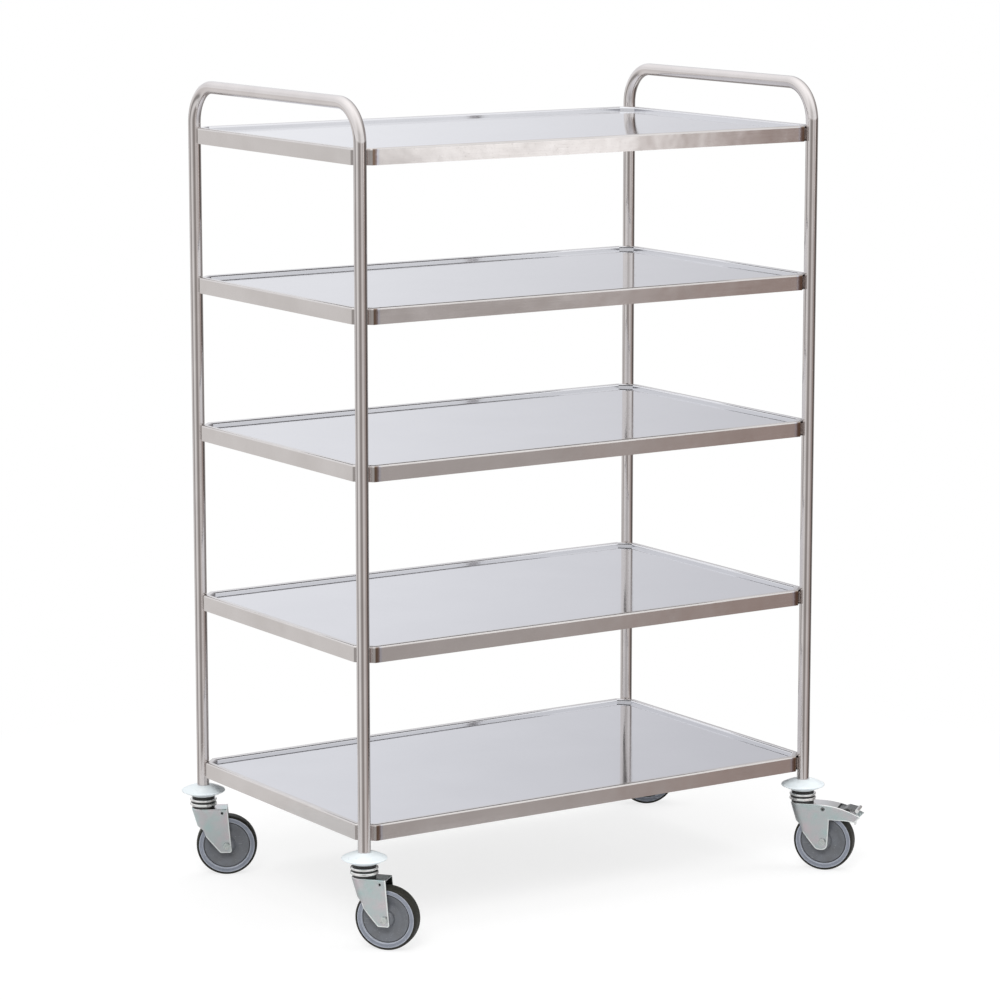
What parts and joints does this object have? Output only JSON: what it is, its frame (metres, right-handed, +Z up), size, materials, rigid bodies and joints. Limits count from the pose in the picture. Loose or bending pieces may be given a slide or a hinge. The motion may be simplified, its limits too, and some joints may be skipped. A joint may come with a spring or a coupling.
{
  "type": "serving trolley",
  "caption": "Tall stainless steel serving trolley with tray shelves welded between bent-tube end frames, on swivel castors with bumper discs and foot brakes.",
  "frame": {"origin": "on the floor, midway between the four posts", "axes": "+X along the shelves from the left end frame to the right, +Y from front to back, +Z up"},
  "size_m": [1.2308, 0.793, 1.635],
  "materials": {
    "tube_steel": "satin",
    "shelf_steel": "polished",
    "weld_steel": "dull bead",
    "zinc_steel": "bright zinc",
    "fastener_steel": "plated",
    "bumper_plastic": "satin",
    "wheel_plastic": "moulded",
    "tyre_rubber": "matt",
    "seal_rubber": "matt"
  },
  "bodies": {
    "frame": {"end_frame_left": "tube_steel", "end_frame_right": "tube_steel", "bottom_shelf": "shelf_steel", "bottom_stiffener": "shelf_steel", "lower_shelf": "shelf_steel", "lower_stiffener": "shelf_steel", "middle_shelf": "shelf_steel", "middle_stiffener": "shelf_steel", "upper_shelf": "shelf_steel", "upper_stiffener": "shelf_steel", "top_shelf": "shelf_steel", "top_stiffener": "shelf_steel", "weld_seams": "weld_steel", "tube_sockets": "fastener_steel", "castor_bolts": "fastener_steel", "bumper_discs": "bumper_plastic", "castor_heads": "zinc_steel"},
    "castor_front_left": {"swivel_seal_front_left": "seal_rubber", "fork_front_left": "zinc_steel", "axle_bush_front_left": "fastener_steel", "axle_bolt_front_left": "fastener_steel", "axle_nut_front_left": "fastener_steel"},
    "rolling_wheel_front_left": {"wheel_front_left": "wheel_plastic", "tyre_front_left": "tyre_rubber"},
    "castor_back_left": {"swivel_seal_back_left": "seal_rubber", "fork_back_left": "zinc_steel", "axle_bush_back_left": "fastener_steel", "axle_bolt_back_left": "fastener_steel", "axle_nut_back_left": "fastener_steel"},
    "rolling_wheel_back_left": {"wheel_back_left": "wheel_plastic", "tyre_back_left": "tyre_rubber"},
    "castor_front_right": {"swivel_seal_front_right": "seal_rubber", "fork_front_right": "zinc_steel", "axle_bush_front_right": "fastener_steel", "axle_bolt_front_right": "fastener_steel", "axle_nut_front_right": "fastener_steel", "brake_pivot_front_right": "fastener_steel"},
    "rolling_wheel_front_right": {"wheel_front_right": "wheel_plastic", "tyre_front_right": "tyre_rubber"},
    "brake_front_right": {"brake_pedal_front_right": "zinc_steel", "brake_pad_front_right": "seal_rubber"},
    "castor_back_right": {"swivel_seal_back_right": "seal_rubber", "fork_back_right": "zinc_steel", "axle_bush_back_right": "fastener_steel", "axle_bolt_back_right": "fastener_steel", "axle_nut_back_right": "fastener_steel", "brake_pivot_back_right": "fastener_steel"},
    "rolling_wheel_back_right": {"wheel_back_right": "wheel_plastic", "tyre_back_right": "tyre_rubber"},
    "brake_back_right": {"brake_pedal_back_right": "zinc_steel", "brake_pad_back_right": "seal_rubber"}
  },
  "joints": [
    {"name": "swivel_front_left", "type": "hinge", "parent": "frame", "child": "castor_front_left", "pos_m": [-0.53137, -0.31887, 0.15], "axis": [0, 0, 1], "continuous": true},
    {"name": "wheel_spin_front_left", "type": "hinge", "parent": "castor_front_left", "child": "rolling_wheel_front_left", "pos_m": [-0.50116, -0.35488, 0.0625], "axis": [-0.766, -0.6428, 0], "continuous": true},
    {"name": "swivel_back_left", "type": "hinge", "parent": "frame", "child": "castor_back_left", "pos_m": [-0.53137, 0.31887, 0.15], "axis": [0, 0, 1], "continuous": true},
    {"name": "wheel_spin_back_left", "type": "hinge", "parent": "castor_back_left", "child": "rolling_wheel_back_left", "pos_m": [-0.49067, 0.29537, 0.0625], "axis": [-0.5, -0.866, 0], "continuous": true},
    {"name": "swivel_front_right", "type": "hinge", "parent": "frame", "child": "castor_front_right", "pos_m": [0.53137, -0.31887, 0.15], "axis": [0, 0, 1], "continuous": true},
    {"name": "wheel_spin_front_right", "type": "hinge", "parent": "castor_front_right", "child": "rolling_wheel_front_right", "pos_m": [0.56159, -0.35488, 0.0625], "axis": [-0.766, -0.6428, 0], "continuous": true},
    {"name": "brake_press_front_right", "type": "hinge", "parent": "castor_front_right", "child": "brake_front_right", "pos_m": [0.56159, -0.35488, 0.132], "axis": [0.766, 0.6428, 0], "range_deg": [0, 9]},
    {"name": "swivel_back_right", "type": "hinge", "parent": "frame", "child": "castor_back_right", "pos_m": [0.53137, 0.31887, 0.15], "axis": [0, 0, 1], "continuous": true},
    {"name": "wheel_spin_back_right", "type": "hinge", "parent": "castor_back_right", "child": "rolling_wheel_back_right", "pos_m": [0.57397, 0.29901, 0.0625], "axis": [-0.4226, -0.9063, 0], "continuous": true},
    {"name": "brake_press_back_right", "type": "hinge", "parent": "castor_back_right", "child": "brake_back_right", "pos_m": [0.57397, 0.29901, 0.132], "axis": [0.4226, 0.9063, 0], "range_deg": [0, 9]}
  ]
}
